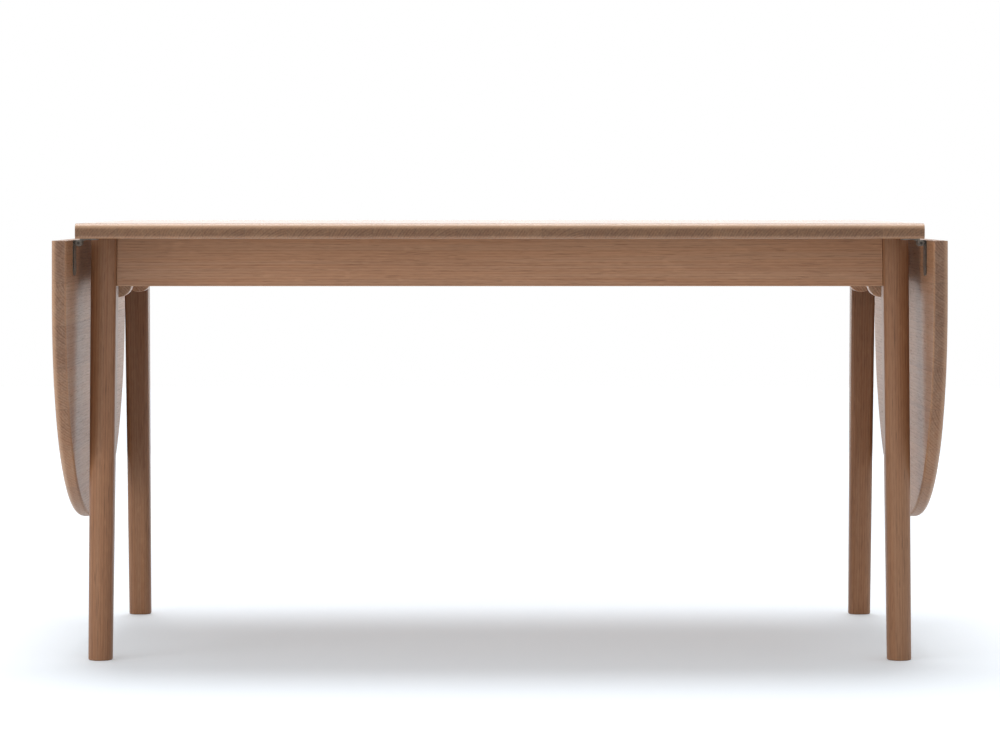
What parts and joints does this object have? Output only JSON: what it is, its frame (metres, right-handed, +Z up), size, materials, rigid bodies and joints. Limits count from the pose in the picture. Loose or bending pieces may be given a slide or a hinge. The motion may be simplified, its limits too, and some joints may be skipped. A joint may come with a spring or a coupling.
{
  "type": "drop leaf table",
  "caption": "Rectangular wooden table on splayed legs, with a hinged half-oval leaf hanging at each end and a pull-out support under each leaf.",
  "frame": {"origin": "on the floor, below the middle of the fixed top", "axes": "+X along the table from the left leaf to the right one, +Y from front to rear across it, +Z up"},
  "size_m": [1.4676, 0.9, 0.73],
  "materials": {
    "wood": "oiled, satin",
    "frame_wood": "oiled, matt",
    "steel": "zinc plated"
  },
  "bodies": {
    "table_frame": {"tabletop": "wood", "long_rail_front": "wood", "long_rail_rear": "wood", "leg_front_left": "wood", "leg_front_right": "wood", "leg_rear_left": "wood", "leg_rear_right": "wood", "end_rail_left": "frame_wood", "end_rail_right": "frame_wood", "middle_rail_left": "frame_wood", "middle_rail_right": "frame_wood", "corner_blocks": "frame_wood", "top_brackets": "steel", "bracket_screws": "steel", "hinge_top_plates": "steel", "hinge_pins": "steel", "hinge_top_screws": "steel"},
    "left_leaf": {"leaf_left": "wood", "hinge_leaf_plates_left": "steel", "hinge_leaf_screws_left": "steel"},
    "right_leaf": {"leaf_right": "wood", "hinge_leaf_plates_right": "steel", "hinge_leaf_screws_right": "steel"},
    "left_support": {"support_bar_left": "wood", "support_arms_left": "frame_wood", "support_pegs_left": "frame_wood"},
    "right_support": {"support_bar_right": "wood", "support_arms_right": "frame_wood", "support_pegs_right": "frame_wood"}
  },
  "joints": [
    {"name": "left_leaf_hinge", "type": "hinge", "parent": "table_frame", "child": "left_leaf", "pos_m": [-0.7004, 0, 0.6966], "axis": [0, 1, 0], "range_deg": [0, 90]},
    {"name": "right_leaf_hinge", "type": "hinge", "parent": "table_frame", "child": "right_leaf", "pos_m": [0.7004, 0, 0.6966], "axis": [0, -1, 0], "range_deg": [0, 90]},
    {"name": "left_support_slide", "type": "slide", "parent": "table_frame", "child": "left_support", "axis": [-1, 0, 0], "range_m": [0, 0.03]},
    {"name": "right_support_slide", "type": "slide", "parent": "table_frame", "child": "right_support", "axis": [1, 0, 0], "range_m": [0, 0.03]}
  ]
}
